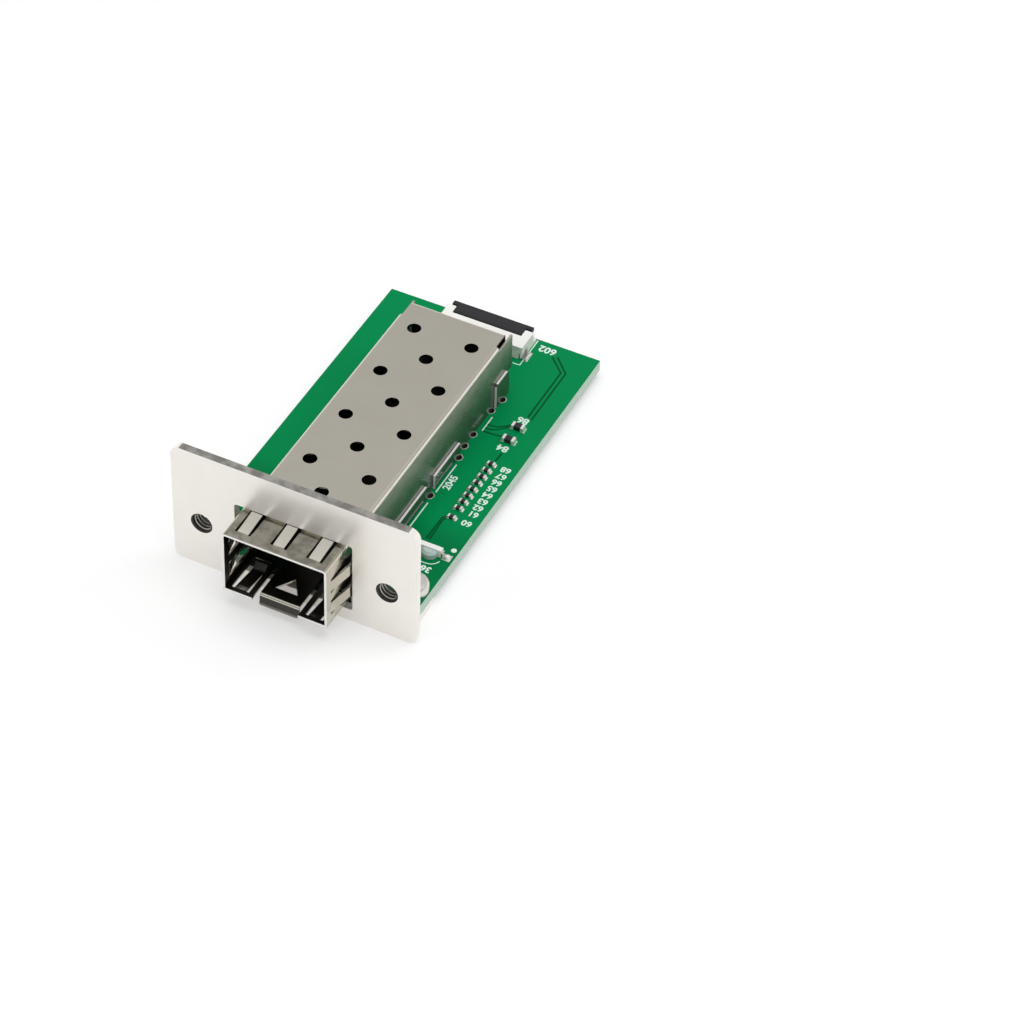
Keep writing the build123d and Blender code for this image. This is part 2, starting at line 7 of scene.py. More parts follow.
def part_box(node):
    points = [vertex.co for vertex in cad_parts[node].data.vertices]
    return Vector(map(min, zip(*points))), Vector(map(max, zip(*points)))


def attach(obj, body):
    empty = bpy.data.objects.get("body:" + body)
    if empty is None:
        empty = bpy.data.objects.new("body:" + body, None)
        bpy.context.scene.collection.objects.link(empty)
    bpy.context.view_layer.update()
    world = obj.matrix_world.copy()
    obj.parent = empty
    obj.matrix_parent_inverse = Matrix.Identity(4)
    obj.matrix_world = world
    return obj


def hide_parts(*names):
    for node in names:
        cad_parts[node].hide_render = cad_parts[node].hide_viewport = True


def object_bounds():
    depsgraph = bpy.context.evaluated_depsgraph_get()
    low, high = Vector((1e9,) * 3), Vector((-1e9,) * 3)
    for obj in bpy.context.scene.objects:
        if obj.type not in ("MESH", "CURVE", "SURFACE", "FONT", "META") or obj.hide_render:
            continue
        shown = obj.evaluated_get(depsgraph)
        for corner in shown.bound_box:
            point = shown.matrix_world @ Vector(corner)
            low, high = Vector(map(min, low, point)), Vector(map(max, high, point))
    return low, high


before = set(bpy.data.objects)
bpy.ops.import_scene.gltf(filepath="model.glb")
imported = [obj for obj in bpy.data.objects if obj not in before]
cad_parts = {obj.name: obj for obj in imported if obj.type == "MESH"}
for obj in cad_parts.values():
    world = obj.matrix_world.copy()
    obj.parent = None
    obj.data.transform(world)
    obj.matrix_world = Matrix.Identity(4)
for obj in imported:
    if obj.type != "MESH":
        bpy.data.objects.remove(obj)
cad_low, cad_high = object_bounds()

# Metres in a millimetre, the unit of the sizes below
MM = 0.001
CARD = "card"

# Keeps a face that lies at a level on the right side of it, in a mask or a pick
MARGIN = 0.01


def corners(node):
    """Lowest and highest corner of a solid of the frame, in millimetres."""
    low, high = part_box(node)
    return low / MM, high / MM


# Levels and sides of the solids, from the frame
board_low, board_high = corners("circuit_board")
screws_low, screws_high = corners("board_screws")
BOARD_TOP = board_high.z
BOARD_BOTTOM = board_low.z
BRACKET_TOP = corners("face_bracket")[1].z
SKIRT_TOP = corners("cage_base")[1].z
CAGE_FRONT = corners("cage_cover")[0].y

# Cage sheet
CAGE_HALF = 7.0
CAGE_TOP = BOARD_TOP + 9.2
CAGE_SHEET = 0.3
CAGE_REAR = 42.7
SKIRT_FRONT = 1.9
SKIRT_STEP = 22.4
EAR_TOP = BOARD_TOP + 3.8
EAR_FRONT = 39.2
LIP_HALF = 2.7
LIP_LOW = BOARD_TOP - 1.0

# Where painted shade and highlights on the cage change: mouth, walls, fade of the shade up the
# walls, bend, ears and lip
MOUTH_RIM = 1.4
WALL_FRONT = 0.2
WALL_TOP = CAGE_TOP - 0.4
FADE_LOW = BOARD_TOP + 1.5
FADE_REACH = (4.0, 9.0)
BEND_HALF = CAGE_HALF - 0.14
BEND_LOW = CAGE_TOP - 0.22
EAR_LEAD = 1.0
LIP_FADE = 0.1

# Least upward part of the normal of a face that faces up, and the stretch of the rolling marks
UPWARD = 0.3
ROLLING_STRETCH = (1.0, 0.06, 1.0)

# Where the finish of the board changes: end of the copper, shade behind the bracket
COPPER_FADE = (14.0, 18.5)
SHADE_HALF = CAGE_HALF + 0.7
SHADE_FADE = (2.0, 3.2)

# Camera of the photograph
CAMERA_AZIMUTH = 24.87
CAMERA_ELEVATION = 43.76
CAMERA_ROLL = 2.22
CAMERA_DISTANCE = 446.1
CAMERA_AIM = Vector((0.0, 19.7, -0.3))
CAMERA_AIM_RIGHT = 17.12
CAMERA_AIM_UP = -6.38
CAMERA_LENS = 128.6
CAMERA_SENSOR = 36.0
CAMERA_CLIP = 10.0

# Floor: its shadow shows up to the near radius and is gone past the far one, in metres
FLOOR_SIZE = 4
FLOOR_NEAR = 0.1
FLOOR_FAR = 0.28
FLOOR_WHITE = 0.66
FLOOR_LIFT = 0.36

# Studio: height and level of the greys that the metal mirrors, and the light it gives
REAR_BAND = ((0.0, 1.0), (0.34, 1.0), (0.52, 0.62), (0.72, 0.62), (0.8, 1.0))
FRONT_BAND = ((0.0, 1.0), (0.22, 1.0), (0.38, 0.35), (0.74, 0.35), (0.82, 1.0))
BAND_BLEND = 0.2
STUDIO_LIGHT = 0.5

# Softboxes: name, place and size in metres, power in watts
SOFTBOXES = (
    ("top_softbox", (0.05, 0.02, 0.45), 0.35, 1.0),
    ("front_softbox", (-0.3, -0.35, 0.25), 0.25, 0.4),
    ("rear_softbox", (0.35, 0.3, 0.3), 0.25, 0.4),
)
SOFTBOX_AIM = Vector((0, 0.02, 0))

# Print on the board: lines, an arc round the lamp and a dot
PRINT_THICKNESS = 0.03
PRINT_EDGE = 0.012
PRINT_LINE = 0.18
CAGE_LINE_X = 7.65
CAGE_LINES = ((7.5, 19.9), (22.05, 27.6), (34.6, 37.5))
CABLE_LINE_X = 6.3
CABLE_LINE_RUN = 1.0
CABLE_LINE_FRONT = 47.95
CABLE_LINE_REAR = 53.3
LAMP_ARC = ((10.3, 11.5), (10.6, 10.7), (11.95, 10.4), (13.3, 10.7), (13.6, 11.5))
LAMP_ARC_LINE = 0.14
DOT_PLACE = (14.28, 13.95)
DOT_RADIUS = 0.36

# Numbers: text, x, y, size and turn in degrees, then those beside the row of chips
NUMBERS = (
    ("86", 11.35, 38.75, 1.5, 180),
    ("84", 11.35, 33.0, 1.5, 180),
    ("602", 8.2, 52.2, 1.6, 180),
    ("2045", 8.5, 24.4, 1.35, 90),
    ("36", 12.7, 9.6, 1.4, 180),
)
NUMBER_WEIGHT = 0.03
ROW_CHIPS = 9
ROW_NUMBER_FIRST = 60
ROW_NUMBER_X = 13.5
ROW_NUMBER_SIZE = 1.32
ROW_NUMBER_TURN = 180

# Gaps etched beside the copper lines, seen through the mask
ETCH_WIDTH = 0.25
ETCH_HEIGHT = 0.016
ETCHED_LINES = (
    ((9.9, 51.6), (12.2, 49.2), (12.2, 39.3)),
    ((9.3, 51.3), (11.6, 49.05), (11.6, 39.6)),
    ((7.5, 36.05), (8.8, 36.0), (9.5, 36.5), (10.4, 37.3)),
    ((7.5, 35.3), (8.8, 35.3), (9.6, 36.15), (10.5, 37.0)),
    ((7.5, 34.7), (8.9, 34.7), (10.5, 34.9)),
    ((10.9, 19.0), (10.4, 18.4), (10.35, 14.3)),
    ((10.95, 18.7), (10.65, 18.1), (10.75, 14.3)),
    ((11.7, 32.1), (11.6, 30.4)),
)

# Meshing: points closer than the weld become one, cuts are as exact as the precision
WELD = 0.0005
CUT_PRECISION = 0.001

# Pads
PAD_THICKNESS = 0.035
PAD_MARGIN = 0.05
PAD_EDGE = 0.012

# Pins of the sheets: height of a tip, rings round the holes, solder below with its shares
PIN_TIP = 0.05
RING_INNER = 0.53
RING_OUTER = 0.67
PIN_SOLDER_RADIUS = 0.72
PIN_SOLDER_HEIGHT = 0.7
PIN_SOLDER_TIP = 0.42
PIN_SOLDER_WAIST = 0.72
PIN_SOLDER_WAIST_DEPTH = 0.4
PIN_SOLDER_ROUND = 0.15

# Chips: tinned ends, solder that falls from them in steps, each narrower by a share
RESISTOR_CAP = 0.25
CAPACITOR_CAP = 0.35
RAMP_LENGTH = 0.18
RAMP_RISE = 0.75
RAMP_PROFILE = (1.0, 0.66, 0.40, 0.22, 0.10)
RAMP_NARROWING = 0.04

# Flat-cable connector: contacts with their tails, and the tabs at its ends
CONTACTS = 16
CONTACT_PITCH = 0.5
CONTACT_WIDTH = 0.2
TAIL_PAD_LENGTH = 1.3
TAIL_SOLDER_EXTRA = 0.08
TAIL_SOLDER_LENGTH = 0.7
TAIL_SOLDER_HEIGHT = 0.2
TAB_INSET = 0.1
TAB_PAD_WIDTH = 0.5
TAB_PAD_EXTRA = 0.2
TAB_SOLDER_WIDTH = 0.4
TAB_SOLDER_HEIGHT = 0.32

# Lamp terminals
LAMP_INSET = 0.15
LAMP_PAD_WIDTH = 1.1
LAMP_PAD_EXTRA = 0.4
LAMP_SOLDER_WIDTH = 0.85
LAMP_SOLDER_EXTRA = 0.25
LAMP_SOLDER_HEIGHT = 0.5

# Thread in the two panel holes
PANEL_HOLE_SPACING = 25.0
PANEL_HOLE_RADIUS = 1.25
PANEL_MOUTH_RADIUS = 1.45
PANEL_MOUTH_DEPTH = 0.2
THREAD_PITCH = 0.5
THREAD_RADIUS = 0.16
THREAD_SEAT = 0.03
THREAD_START = 0.36
THREAD_TURNS = 3
THREAD_STEPS = 36

# Board screws
SCREW_HEAD_RADIUS = 2.0
SCREW_HEAD_HEIGHT = 1.4
SCREW_HEAD_ROUND = 0.62
SCREW_HEAD_TOP = BOARD_TOP + SCREW_HEAD_HEIGHT
SCREW_RADIUS = 1.0
SCREW_LENGTH = 2.5
SCREW_END = BOARD_TOP - SCREW_LENGTH
SCREW_TIP = 0.25
SCREW_X = screws_high.x - SCREW_HEAD_RADIUS
SCREW_Y = (screws_low.y + screws_high.y) / 2
DRIVE_SPAN = 2.3
DRIVE_WIDTH = 0.55
DRIVE_DEPTH = 0.9
DRIVE_TAPER = 0.45
DRIVE_TURNS = (18, 64)
# Levels between which the cross drive takes painted shade
DRIVE_SHADE_LOW = BOARD_TOP + 0.05
DRIVE_SHADE_HIGH = SCREW_HEAD_TOP - 0.06

# Tones: one colour, or the dark and the light one of a pattern
NICKEL_TONES = ((0.945, 0.91, 0.85, 1), (0.99, 0.96, 0.91, 1))
NICKEL_EDGE_SHADE_TONES = ((0.27, 0.26, 0.235, 1), (0.48, 0.465, 0.43, 1))
BORE_SHADE_TONE = (0.06, 0.058, 0.052, 1)
SHEET_TONES = ((0.59, 0.56, 0.485, 1), (0.64, 0.61, 0.535, 1))
SHEET_SHADE_TONE = (0.11, 0.112, 0.103, 1)
SHEET_FINGER_HIGHLIGHT_TONE = (0.84, 0.82, 0.77, 1)
SHEET_LIP_SHADE_TONE = (0.045, 0.045, 0.042, 1)
SHEET_INSIDE_SHADE_TONE = (0.10, 0.095, 0.085, 1)
SHEET_HIGHLIGHT_TONE = (0.95, 0.94, 0.91, 1)
COPPER_TONES = ((0.0, 0.225, 0.066, 1), (0.0, 0.258, 0.080, 1))
BARE_TONE = (0.0, 0.165, 0.050, 1)
SHADE_TONE = (0.0, 0.02, 0.008, 1)
ETCH_TONES = ((0.0, 0.06, 0.018, 1), (0.0, 0.09, 0.028, 1))
LAMINATE_TONES = ((0.56, 0.74, 0.62, 1), (0.70, 0.83, 0.72, 1))
HOLE_SHADE_TONE = (0.02, 0.024, 0.02, 1)
PRINT_TONES = ((0.66, 0.86, 0.76, 1), (0.78, 0.92, 0.85, 1))
TIN_TONES = ((0.70, 0.69, 0.66, 1), (0.80, 0.79, 0.76, 1))
SOLDER_TONES = ((0.90, 0.90, 0.88, 1), (0.97, 0.97, 0.95, 1))
GOLD_TONES = ((0.83, 0.60, 0.24, 1), (0.90, 0.68, 0.32, 1))
THREAD_SHADE_TONES = ((0.26, 0.25, 0.23, 1), (0.44, 0.43, 0.40, 1))
SCREW_TONES = ((0.66, 0.64, 0.60, 1), (0.78, 0.76, 0.72, 1))
DRIVE_SHADE_TONE = (0.07, 0.068, 0.062, 1)
CERAMIC_TONES = ((0.008, 0.008, 0.010, 1), (0.018, 0.018, 0.022, 1))
CHIP_END_TONE = (0.90, 0.89, 0.87, 1)
HOST_TONES = ((0.012, 0.012, 0.013, 1), (0.022, 0.022, 0.024, 1))
HOUSING_TONES = ((0.88, 0.87, 0.83, 1), (0.93, 0.92, 0.89, 1))
FLAP_TONES = ((0.003, 0.003, 0.005, 1), (0.008, 0.008, 0.012, 1))
LAMP_TONES = ((0.88, 0.89, 0.87, 1), (0.94, 0.94, 0.92, 1))
RESIN_TONES = ((0.62, 0.84, 0.76, 1), (0.78, 0.93, 0.87, 1))


class Value:
    """A shader output that Python arithmetic can work on."""

    def __init__(self, nodes, socket):
        self.nodes = nodes
        self.socket = socket

    def _math(self, operation, first, second):
        return self.nodes.add("ShaderNodeMath", {"operation": operation}, {0: first, 1: second})

    def __add__(self, other):
        return self._math("ADD", self, other)

    def __radd__(self, other):
        return self._math("ADD", other, self)

    def __sub__(self, other):
        return self._math("SUBTRACT", self, other)

    def __rsub__(self, other):
        return self._math("SUBTRACT", other, self)

    def __mul__(self, other):
        return self._math("MULTIPLY", self, other)

    def __rmul__(self, other):
        return self._math("MULTIPLY", other, self)

    def __pow__(self, other):
        return self._math("POWER", self, other)

    def __lt__(self, other):
        return self._math("LESS_THAN", self, other)

    def __gt__(self, other):
        return self._math("GREATER_THAN", self, other)

    def __abs__(self):
        return self._math("ABSOLUTE", self, 0.0)


class Nodes:
    """A node tree that takes nodes by type, settings and inputs."""

    def __init__(self, tree):
        self.tree = tree

    def feed(self, socket, value):
        """Link a shader output to a socket, or set the socket to a constant."""
        if isinstance(value, Value):
            self.tree.links.new(value.socket, socket)
        else:
            socket.default_value = value

    def add(self, kind, settings, inputs, output=0):
        """One output of a new node; the stops of a colour ramp are a setting too."""
        node = self.tree.nodes.new(kind)
        for name, value in settings.items():
            if name == "stops":
                ramp = node.color_ramp.elements
                for place, _ in value[len(ramp):]:
                    ramp.new(place)
                for element, (place, colour) in zip(ramp, value):
                    element.position = place
                    element.color = colour
            else:
                setattr(node, name, value)
        for name, value in inputs.items():
            self.feed(node.inputs[name], value)
        return Value(self, node.outputs[output])

    def part(self, vector, axis):
        """The X, Y or Z of a vector."""
        return self.add("ShaderNodeSeparateXYZ", {}, {"Vector": vector}, axis)

    def mix(self, first, second, factor):
        """Blend of two colours."""
        colours = {0: factor, 6: first, 7: second}
        return self.add("ShaderNodeMix", {"data_type": "RGBA"}, colours, 2)

    def rise(self, value, low, high):
        """Smooth step from 0 at low to 1 at high."""
        return self.add(
            "ShaderNodeMapRange",
            {"interpolation_type": "SMOOTHSTEP"},
            {"Value": value, "From Min": low, "From Max": high},
        )


class Finish(Nodes):
    """A material whose patterns lie on Object coordinates, in millimetres."""

    def __init__(self, name):
        self.material = bpy.data.materials.new(name)
        self.material.use_nodes = True
        super().__init__(self.material.node_tree)
        self.shader = self.tree.nodes["Principled BSDF"]
        place = self.add("ShaderNodeTexCoord", {}, {}, "Object")
        self.place = self.add(
            "ShaderNodeVectorMath", {"operation": "SCALE"}, {0: place, "Scale": 1 / MM}
        )
        self.x, self.y, self.z = (self.part(self.place, axis) for axis in "XYZ")

    def set(self, **values):
        """Shader sockets by name, with underscores for spaces."""
        for name, value in values.items():
            self.feed(self.shader.inputs[name.replace("_", " ")], value)

    def noise(self, scale, detail=2.0, stretch=None):
        """Cloudy pattern from 0 to 1, with about scale features in a millimetre."""
        vector = self.place
        if stretch:
            vector = self.add("ShaderNodeMapping", {}, {"Vector": vector, "Scale": stretch})
        pattern = {"Vector": vector, "Scale": scale, "Detail": detail}
        return self.add("ShaderNodeTexNoise", {}, pattern)

    def bump(self, height, strength, depth, edge):
        """Relief of that depth on edges rounded to that radius, in millimetres."""
        rounded = self.add("ShaderNodeBevel", {"samples": 4}, {"Radius": edge * MM})
        relief = {"Height": height, "Strength": strength, "Distance": depth * MM}
        self.set(Normal=self.add("ShaderNodeBump", {}, {**relief, "Normal": rounded}))


def grey(level):
    """An opaque grey."""
    return (level, level, level, 1.0)


# Finishes


def bracket_nickel():
    """Pale nickel plate, with painted shade on its sheared top edge and in the two tapped bores.
    """
    finish = Finish("bracket_nickel")
    cloud = finish.noise(scale=0.35)
    grain = finish.noise(scale=9.0, detail=3.0)
    blotch = finish.rise(finish.noise(scale=0.6, detail=4.0), low=0.35, high=0.65)
    # Painted shade: near-black in the two tapped bores and their widened mouths
    across = abs(finish.x) - PANEL_HOLE_SPACING / 2
    radius = (across * across + finish.z * finish.z) ** 0.5
    mouth = finish.y < PANEL_MOUTH_DEPTH + MARGIN
    widening = PANEL_MOUTH_RADIUS - PANEL_HOLE_RADIUS
    bore = radius < PANEL_HOLE_RADIUS + 2 * MARGIN + widening * mouth
    # Painted shade: a darker, mottled tone on the top edge
    sheared = finish.z > BRACKET_TOP - 3 * MARGIN
    plate = finish.mix(*NICKEL_TONES, cloud)
    plate = finish.mix(plate, finish.mix(*NICKEL_EDGE_SHADE_TONES, blotch), sheared)
    finish.set(
        Base_Color=finish.mix(plate, BORE_SHADE_TONE, bore),
        Roughness=0.29 + 0.10 * grain + 0.1 * bore,
        Metallic=0.62 + 0.38 * (bore + sheared),
    )
    finish.bump(grain, strength=0.25, depth=0.004, edge=0.06)
    return finish.material


def cage_inside_shade(finish, width):
    """1 on the faces inside the cage and on what is pressed down from its floor, where painted
    shade goes, else 0.
    """
    normal = finish.add("ShaderNodeNewGeometry", {}, {}, "True Normal")
    upward = finish.part(normal, "Z") > UPWARD
    floor_level = BOARD_TOP + CAGE_SHEET - MARGIN
    roof_level = CAGE_TOP - CAGE_SHEET + MARGIN
    shell = (width < CAGE_HALF - CAGE_SHEET + MARGIN) * (finish.z < roof_level)
    pressed = upward * (finish.z < floor_level) * (finish.y > CAGE_FRONT + MOUTH_RIM)
    return shell * ((finish.z > floor_level) + pressed)


def cage_highlights(finish, width):
    """1 where painted highlights go: the sheared edges of skirts and ears, the bends of the roof
    and the mouth, else 0.
    """
    edge_level = SKIRT_TOP + (EAR_TOP - SKIRT_TOP) * (finish.y > EAR_FRONT - EAR_LEAD)
    top_edge = abs(finish.z - edge_level) < 3 * MARGIN
    ear_edge = abs(finish.y - EAR_FRONT) < 3 * MARGIN
    step_edge = abs(finish.y - SKIRT_STEP) < 3 * MARGIN
    outside = (finish.y > SKIRT_FRONT) * (width > CAGE_HALF + 2 * MARGIN)
    sheared = (top_edge + (ear_edge + step_edge)) * outside
    bend = (width > BEND_HALF) * (finish.z > BEND_LOW)
    mouth = finish.y < CAGE_FRONT + 2 * MARGIN
    return finish.add("ShaderNodeClamp", {}, {"Value": sheared + bend + mouth})


def cage_sheet():
    """Rolled tinned sheet, duller and with painted shade inside, painted shade down the sides, on
    the roof in front of the bracket and on the lip, and painted highlights on the raised fingers,
    bends, mouth and sheared edges.
    """
    finish = Finish("cage_sheet")
    cloud = finish.noise(scale=0.25)
    rolling = finish.noise(scale=5.0, detail=3.0, stretch=ROLLING_STRETCH)
    blotch = finish.rise(finish.noise(scale=0.7, detail=4.0), low=0.38, high=0.62)
    width = abs(finish.x)
    inside = cage_inside_shade(finish, width)
    painted_highlight = cage_highlights(finish, width)
    # Painted shade on the side walls, darkest near the board and towards the front, mottled
    side = (finish.y > WALL_FRONT) * (width > CAGE_HALF - MARGIN) * (finish.z < WALL_TOP)
    height = finish.rise(finish.z, FADE_LOW, CAGE_TOP) * finish.rise(finish.y, *FADE_REACH)
    wall_shade = side * (0.92 - 0.5 * height - 0.08 * blotch)
    # Painted shade on the roof in front of the bracket, mottled, in the same tone as the walls
    nose_top = (finish.y < 0) * (finish.z > CAGE_TOP - 2 * MARGIN)
    nose = nose_top * (0.58 - 0.36 * blotch)
    # Painted highlight: a pale tone on the raised fingers
    finger_highlight = nose_top * (finish.z > CAGE_TOP + MARGIN)
    # Painted shade: the lip's front face is dark, less so at its lowest edge
    lip = (width < LIP_HALF) * (finish.z < BOARD_TOP - MARGIN) * (finish.y < 0)
    lip = lip * (0.35 + 0.63 * finish.rise(finish.z, LIP_LOW - LIP_FADE, LIP_LOW + LIP_FADE))
    sheet = finish.mix(*SHEET_TONES, cloud)
    sheet = finish.mix(sheet, SHEET_SHADE_TONE, wall_shade + nose)
    sheet = finish.mix(sheet, SHEET_FINGER_HIGHLIGHT_TONE, finger_highlight)
    sheet = finish.mix(sheet, SHEET_LIP_SHADE_TONE, lip)
    # Painted shade: a dark tone on the faces inside the cage
    sheet = finish.mix(sheet, SHEET_INSIDE_SHADE_TONE, inside)
    finish.set(
        # Painted highlight: a near-white, less metallic tone on sheared edges, bends and the mouth
        # rim
        Base_Color=finish.mix(sheet, SHEET_HIGHLIGHT_TONE, painted_highlight),
        Roughness=0.13 + 0.10 * rolling + 0.12 * inside + 0.2 * side * height + 0.25 * painted_highlight,
        Metallic=1 - 0.6 * painted_highlight - 0.22 * side,
    )
    finish.bump(rolling, strength=0.2, depth=0.003, edge=0.05)
    return finish.material


def board_mask():
    """Green mask over copper, darker where the copper ends, on a pale laminate, with painted shade
    under the cage, behind the bracket, in the holes and on the front edge below the cage.
    """
    finish = Finish("board_mask")
    cloud = finish.noise(scale=0.12)
    speck = finish.noise(scale=14.0, detail=2.0)
    fibre = finish.noise(scale=2.0, detail=4.0)
    width = abs(finish.x)
    top = finish.z > BOARD_TOP - 2 * MARGIN
    cut = (finish.z < BOARD_TOP - 2 * MARGIN) * (finish.z > BOARD_BOTTOM + 2 * MARGIN)
    front = finish.y < board_low.y + 2 * MARGIN
    rear = finish.y > board_high.y - 2 * MARGIN
    rim = cut * ((width > board_high.x - 2 * MARGIN) + front + rear)
    # Painted shade: near-black in the holes and on the board's front edge within the cage's width
    hole = cut - rim
    front_edge_shade = rim * (width < CAGE_HALF) * front
    bare = 1 - finish.rise(finish.y, *COPPER_FADE)
    # Painted shade on the board under the cage and just behind the bracket
    shade_under_cage = top * (width < CAGE_HALF) * (finish.y < CAGE_REAR)
    shaded = top * (width < SHADE_HALF) * (1 - finish.rise(finish.y, *SHADE_FADE))
    board = finish.mix(*COPPER_TONES, cloud)
    board = finish.mix(board, BARE_TONE, bare * 0.8)
    board = finish.mix(board, SHADE_TONE, shade_under_cage + shaded)
    board = finish.mix(board, finish.mix(*LAMINATE_TONES, fibre), rim)
    finish.set(
        Base_Color=finish.mix(board, HOLE_SHADE_TONE, hole + front_edge_shade),
        Roughness=0.40 + 0.08 * speck + 0.4 * cut,
        Specular_IOR_Level=0.05,
    )
    finish.bump(speck, strength=0.15, depth=0.004, edge=0.04)
    return finish.material


def plastic(name, tones, roughness, grain_scale):
    """Moulded plastic with a fine grain."""
    finish = Finish(name)
    cloud = finish.noise(scale=0.8)
    grain = finish.noise(grain_scale, detail=3.0)
    finish.set(Base_Color=finish.mix(*tones, cloud), Roughness=roughness + 0.12 * grain)
    finish.bump(grain, strength=0.25, depth=0.006, edge=0.05)
    return finish.material


def plating(name, tones, roughness):
    """Plated metal, or solder, with a fine grain."""
    finish = Finish(name)
    cloud = finish.noise(scale=2.5)
    grain = finish.noise(scale=16.0, detail=2.0)
    finish.set(
        Base_Color=finish.mix(*tones, cloud),
        Roughness=roughness + 0.12 * grain,
        Metallic=1.0,
    )
    finish.bump(grain, strength=0.2, depth=0.004, edge=0.03)
    return finish.material


def screw_plate():
    """Satin plate, with painted shade down in the cross drive."""
    finish = Finish("screw_plate")
    cloud = finish.noise(scale=2.5)
    grain = finish.noise(scale=16.0, detail=2.0)
    across = abs(finish.x) - SCREW_X
    along = finish.y - SCREW_Y
    near = (across * across + along * along) ** 0.5 < DRIVE_SPAN / 2 + 2 * MARGIN
    # Painted shade: a dark tone down in the cross drive
    drive = near * (finish.z > DRIVE_SHADE_LOW) * (finish.z < DRIVE_SHADE_HIGH)
    finish.set(
        Base_Color=finish.mix(finish.mix(*SCREW_TONES, cloud), DRIVE_SHADE_TONE, drive),
        Roughness=0.26 + 0.12 * grain + 0.2 * drive,
        Metallic=1.0,
    )
    finish.bump(grain, strength=0.2, depth=0.004, edge=0.05)
    return finish.material


def lamp_resin():
    """Clear resin of the lamp's lens, with a faint green."""
    finish = Finish("led_resin")
    cloud = finish.noise(scale=1.5)
    finish.set(
        Base_Color=finish.mix(*RESIN_TONES, cloud),
        Roughness=0.06 + 0.05 * cloud,
        Transmission_Weight=0.35,
        IOR=1.5,
    )
    return finish.material


def chip_ceramic(node):
    """Dark body and tinned ends of one chip, split along x."""
    finish = Finish("chip_ceramic")
    low, high = corners(node)
    cap = CAPACITOR_CAP if "capacitor" in node else RESISTOR_CAP
    end = abs(finish.x - (low.x + high.x) / 2) > (high.x - low.x) / 2 - cap
    grain = finish.noise(scale=12.0, detail=2.0)
    finish.set(
        Base_Color=finish.mix(finish.mix(*CERAMIC_TONES, grain), CHIP_END_TONE, end),
        Roughness=0.42 - 0.1 * end + 0.08 * grain,
        Metallic=0.6 * end,
    )
    finish.bump(grain, strength=0.2, depth=0.004, edge=0.03)
    return finish.material


def board_print():
    """Pale ink."""
    finish = Finish("board_print")
    cloud = finish.noise(scale=3.0)
    finish.set(Base_Color=finish.mix(*PRINT_TONES, cloud), Roughness=0.55 + 0.1 * cloud)
    return finish.material


def etched_mask():
    """Mask over bare laminate, darker than over copper."""
    finish = Finish("etched_mask")
    cloud = finish.noise(scale=0.6)
    finish.set(
        Base_Color=finish.mix(*ETCH_TONES, cloud),
        Roughness=0.45 + 0.06 * cloud,
        Specular_IOR_Level=0.05,
    )
    return finish.material


TIN = plating("tin_plate", TIN_TONES, roughness=0.20)
SOLDER = plating("solder", SOLDER_TONES, roughness=0.30)
GOLD = plating("contact_plate", GOLD_TONES, roughness=0.18)
# The thread ridges take a darker grey than the nickel plate of the bracket: painted shade in the
# bores
SHADED_THREAD = plating("thread_plate_shaded", THREAD_SHADE_TONES, roughness=0.22)
SCREW = screw_plate()
BRACKET = bracket_nickel()
CAGE = cage_sheet()
PRINT = board_print()
FINISHES = {
    "face_bracket": BRACKET,
    "circuit_board": board_mask(),
    "board_screws": SCREW,
    "cage_cover": CAGE,
    "cage_base": CAGE,
    "host_connector_body": plastic("host_plastic", HOST_TONES, roughness=0.38, grain_scale=8.0),
    "host_connector_upper_contacts": GOLD,
    "host_connector_lower_contacts": GOLD,
    "cable_connector_housing": plastic(
        "housing_plastic", HOUSING_TONES, roughness=0.42, grain_scale=7.0
    ),
    "cable_connector_contacts": TIN,
    "cable_connector_tabs": TIN,
    "cable_lock_flap": plastic("flap_plastic", FLAP_TONES, roughness=0.42, grain_scale=7.0),
    "led_body": plastic("led_white", LAMP_TONES, roughness=0.40, grain_scale=8.0),
    "led_window": lamp_resin(),
    "led_terminals": TIN,
}


def dress_cad_nodes():
    """Give every solid of the frame its finish; those not listed are chips."""
    for name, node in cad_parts.items():
        finish = FINISHES[name] if name in FINISHES else chip_ceramic(name)
        node.data.materials.clear()
        node.data.materials.append(finish)


# Modelling helpers


def clear_selection():
    """Object mode with nothing selected."""
    if bpy.context.mode != "OBJECT":
        bpy.ops.object.mode_set(mode="OBJECT")
    bpy.ops.object.select_all(action="DESELECT")


def make_active(piece):
    """Object mode with only the piece selected."""
    clear_selection()
    piece.select_set(True)
    bpy.context.view_layer.objects.active = piece


def pick(piece, test):
    """Enter edit mode with the points selected whose place, in millimetres, passes the test."""
    make_active(piece)
    bpy.ops.object.mode_set(mode="EDIT")
    bpy.ops.mesh.select_mode(type="VERT")
    bpy.ops.mesh.select_all(action="DESELECT")
    bpy.ops.object.mode_set(mode="OBJECT")
    for vertex in piece.data.vertices:
        vertex.select = test(vertex.co / MM)
    bpy.ops.object.mode_set(mode="EDIT")
    bpy.ops.mesh.select_mode(type="VERT")


def everywhere(place):
    """A test for pick that every point passes."""
    return True


def join(pieces):
    """One object from several."""
    clear_selection()
    for piece in pieces:
        piece.select_set(True)
    bpy.context.view_layer.objects.active = pieces[0]
    bpy.ops.object.join()
    return pieces[0]


def apply_place(piece):
    """Put a piece's place, turn and scale in its mesh."""
    make_active(piece)
    bpy.ops.object.transform_apply(location=True, rotation=True, scale=True)


